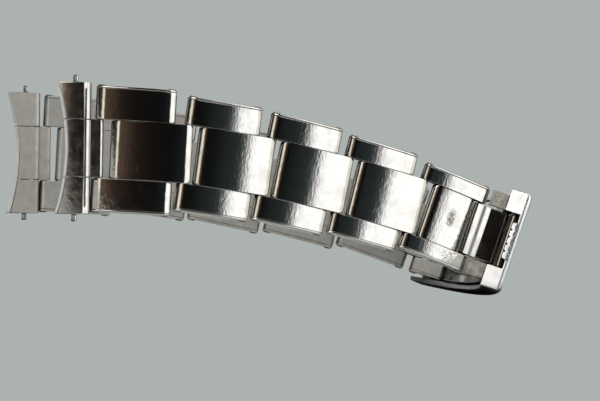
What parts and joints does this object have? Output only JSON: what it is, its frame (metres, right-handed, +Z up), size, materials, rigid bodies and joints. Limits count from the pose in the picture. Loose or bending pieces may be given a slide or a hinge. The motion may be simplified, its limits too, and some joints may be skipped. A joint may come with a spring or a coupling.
{
  "type": "link watch bracelet",
  "caption": "Riveted link watch bracelet that tapers from shaped end pieces to a fold-over clasp, hinged row by row and fitted with sprung bars.",
  "frame": {"origin": "on the surface the closed bracelet stands on, below the middle of its bounding box", "axes": "+X from the watch end towards the clasp, +Y from the half with the notched clasp end towards the half with the adjusting holes, +Z up through the width of the bracelet, which stands on its edge"},
  "size_m": [0.0828, 0.0428, 0.0225],
  "materials": {
    "outer_link_steel": "polished, finely scratched",
    "centre_link_steel": "polished, finely scratched",
    "pin_steel": "worn",
    "clasp_steel": "satin",
    "blade_steel": "satin, stamped sheet",
    "end_piece_steel": "satin",
    "spring_bar_steel": "turned",
    "spring_wire": "drawn wire"
  },
  "bodies": {
    "cover": {"clasp_cover": "clasp_steel", "cover_pin": "pin_steel"},
    "long_blade": {"long_blade": "blade_steel"},
    "catch_blade": {"catch_blade": "blade_steel", "fold_pin": "pin_steel"},
    "near_row_1": {"near_outers_1": "outer_link_steel", "near_centre_1": "centre_link_steel", "near_pins_1": "pin_steel"},
    "near_row_2": {"near_outers_2": "outer_link_steel", "near_centre_2": "centre_link_steel", "near_pins_2": "pin_steel"},
    "near_row_3": {"near_outers_3": "outer_link_steel", "near_centre_3": "centre_link_steel", "near_pins_3": "pin_steel"},
    "near_row_4": {"near_outers_4": "outer_link_steel", "near_centre_4": "centre_link_steel", "near_pins_4": "pin_steel"},
    "near_row_5": {"near_outers_5": "outer_link_steel", "near_centre_5": "centre_link_steel", "near_pins_5": "pin_steel"},
    "near_end": {"near_end_piece": "end_piece_steel", "near_lug_bar_tube": "spring_bar_steel", "near_lug_bar_spring": "spring_wire"},
    "far_row_1": {"far_outers_1": "outer_link_steel", "far_centre_1": "centre_link_steel", "far_pins_1": "pin_steel"},
    "far_row_2": {"far_outers_2": "outer_link_steel", "far_centre_2": "centre_link_steel", "far_pins_2": "pin_steel"},
    "far_row_3": {"far_outers_3": "outer_link_steel", "far_centre_3": "centre_link_steel", "far_pins_3": "pin_steel"},
    "far_row_4": {"far_outers_4": "outer_link_steel", "far_centre_4": "centre_link_steel", "far_pins_4": "pin_steel"},
    "far_row_5": {"far_outers_5": "outer_link_steel", "far_centre_5": "centre_link_steel", "far_pins_5": "pin_steel"},
    "far_end": {"far_end_piece": "end_piece_steel", "far_lug_bar_tube": "spring_bar_steel", "far_lug_bar_spring": "spring_wire"},
    "far_link_6": {"far_outers_6": "outer_link_steel", "far_centre_6": "centre_link_steel", "far_pins_6": "pin_steel", "clasp_bar_tube": "spring_bar_steel", "clasp_bar_spring": "spring_wire"},
    "near_upper_tip": {"near_lug_bar_upper_tip": "spring_bar_steel"},
    "near_lower_tip": {"near_lug_bar_lower_tip": "spring_bar_steel"},
    "far_upper_tip": {"far_lug_bar_upper_tip": "spring_bar_steel"},
    "far_lower_tip": {"far_lug_bar_lower_tip": "spring_bar_steel"},
    "clasp_upper_tip": {"clasp_bar_upper_tip": "spring_bar_steel"},
    "clasp_lower_tip": {"clasp_bar_lower_tip": "spring_bar_steel"}
  },
  "joints": [
    {"name": "cover_hinge", "type": "hinge", "parent": "cover", "child": "long_blade", "pos_m": [0.0356, -0.01543, 0.0088], "axis": [0.1773, 0, 0.9842], "range_deg": [0, 60]},
    {"name": "fold_hinge", "type": "hinge", "parent": "long_blade", "child": "catch_blade", "pos_m": [0.03682, 0.00876, 0.00858], "axis": [-0.1773, 0, -0.9842], "range_deg": [0, 20]},
    {"name": "near_row_5_hinge", "type": "hinge", "parent": "catch_blade", "child": "near_row_5", "pos_m": [0.02987, -0.01423, 0.00983], "axis": [-0.1773, 0, -0.9842], "range_deg": [-3, 11]},
    {"name": "near_row_4_hinge", "type": "hinge", "parent": "near_row_5", "child": "near_row_4", "pos_m": [0.01944, -0.01572, 0.01171], "axis": [-0.1773, 0, -0.9842], "range_deg": [-3, 11]},
    {"name": "near_row_3_hinge", "type": "hinge", "parent": "near_row_4", "child": "near_row_3", "pos_m": [0.00625, -0.01746, 0.01285], "axis": [-0.0856, 0, -0.9963], "range_deg": [-3, 11]},
    {"name": "near_row_2_hinge", "type": "hinge", "parent": "near_row_3", "child": "near_row_2", "pos_m": [-0.00699, -0.01909, 0.01338], "axis": [-0.0403, 0, -0.9992], "range_deg": [-3, 11]},
    {"name": "near_row_1_hinge", "type": "hinge", "parent": "near_row_2", "child": "near_row_1", "pos_m": [-0.02026, -0.02048, 0.01301], "axis": [0.0277, 0, -0.9996], "range_deg": [-3, 11]},
    {"name": "near_end_hinge", "type": "hinge", "parent": "near_row_1", "child": "near_end", "pos_m": [-0.03349, -0.01955, 0.01153], "axis": [0.1113, 0, -0.9938], "range_deg": [-3, 11]},
    {"name": "far_link_6_hinge", "type": "hinge", "parent": "cover", "child": "far_link_6", "pos_m": [0.03649, 0.01201, 0.00864], "axis": [0.1773, 0, 0.9842], "range_deg": [0, 10]},
    {"name": "far_row_5_hinge", "type": "hinge", "parent": "far_link_6", "child": "far_row_5", "pos_m": [0.03245, 0.01386, 0.00937], "axis": [0.1773, 0, 0.9842], "range_deg": [-3, 11]},
    {"name": "far_row_4_hinge", "type": "hinge", "parent": "far_row_5", "child": "far_row_4", "pos_m": [0.01944, 0.01572, 0.01171], "axis": [0.1773, 0, 0.9842], "range_deg": [-3, 11]},
    {"name": "far_row_3_hinge", "type": "hinge", "parent": "far_row_4", "child": "far_row_3", "pos_m": [0.00625, 0.01746, 0.01285], "axis": [0.0856, 0, 0.9963], "range_deg": [-3, 11]},
    {"name": "far_row_2_hinge", "type": "hinge", "parent": "far_row_3", "child": "far_row_2", "pos_m": [-0.00699, 0.01909, 0.01338], "axis": [0.0403, 0, 0.9992], "range_deg": [-3, 11]},
    {"name": "far_row_1_hinge", "type": "hinge", "parent": "far_row_2", "child": "far_row_1", "pos_m": [-0.02026, 0.02048, 0.01301], "axis": [-0.0277, 0, 0.9996], "range_deg": [-3, 11]},
    {"name": "far_end_hinge", "type": "hinge", "parent": "far_row_1", "child": "far_end", "pos_m": [-0.03349, 0.01955, 0.01153], "axis": [-0.1113, 0, 0.9938], "range_deg": [-3, 11]},
    {"name": "near_upper_tip_slide", "type": "slide", "parent": "near_end", "child": "near_upper_tip", "axis": [0.1545, 0, -0.988], "range_m": [0, 0.0011], "stiffness_N_per_m": 1000, "springref_m": -0.0008},
    {"name": "near_lower_tip_slide", "type": "slide", "parent": "near_end", "child": "near_lower_tip", "axis": [-0.1545, 0, 0.988], "range_m": [0, 0.0011], "stiffness_N_per_m": 1000, "springref_m": -0.0008},
    {"name": "far_upper_tip_slide", "type": "slide", "parent": "far_end", "child": "far_upper_tip", "axis": [0.1545, 0, -0.988], "range_m": [0, 0.0011], "stiffness_N_per_m": 1000, "springref_m": -0.0008},
    {"name": "far_lower_tip_slide", "type": "slide", "parent": "far_end", "child": "far_lower_tip", "axis": [-0.1545, 0, 0.988], "range_m": [0, 0.0011], "stiffness_N_per_m": 1000, "springref_m": -0.0008},
    {"name": "clasp_upper_tip_slide", "type": "slide", "parent": "far_link_6", "child": "clasp_upper_tip", "axis": [-0.1773, 0, -0.9842], "range_m": [0, 0.0009], "stiffness_N_per_m": 1000, "springref_m": -0.0008},
    {"name": "clasp_lower_tip_slide", "type": "slide", "parent": "far_link_6", "child": "clasp_lower_tip", "axis": [0.1773, 0, 0.9842], "range_m": [0, 0.0009], "stiffness_N_per_m": 1000, "springref_m": -0.0008}
  ]
}
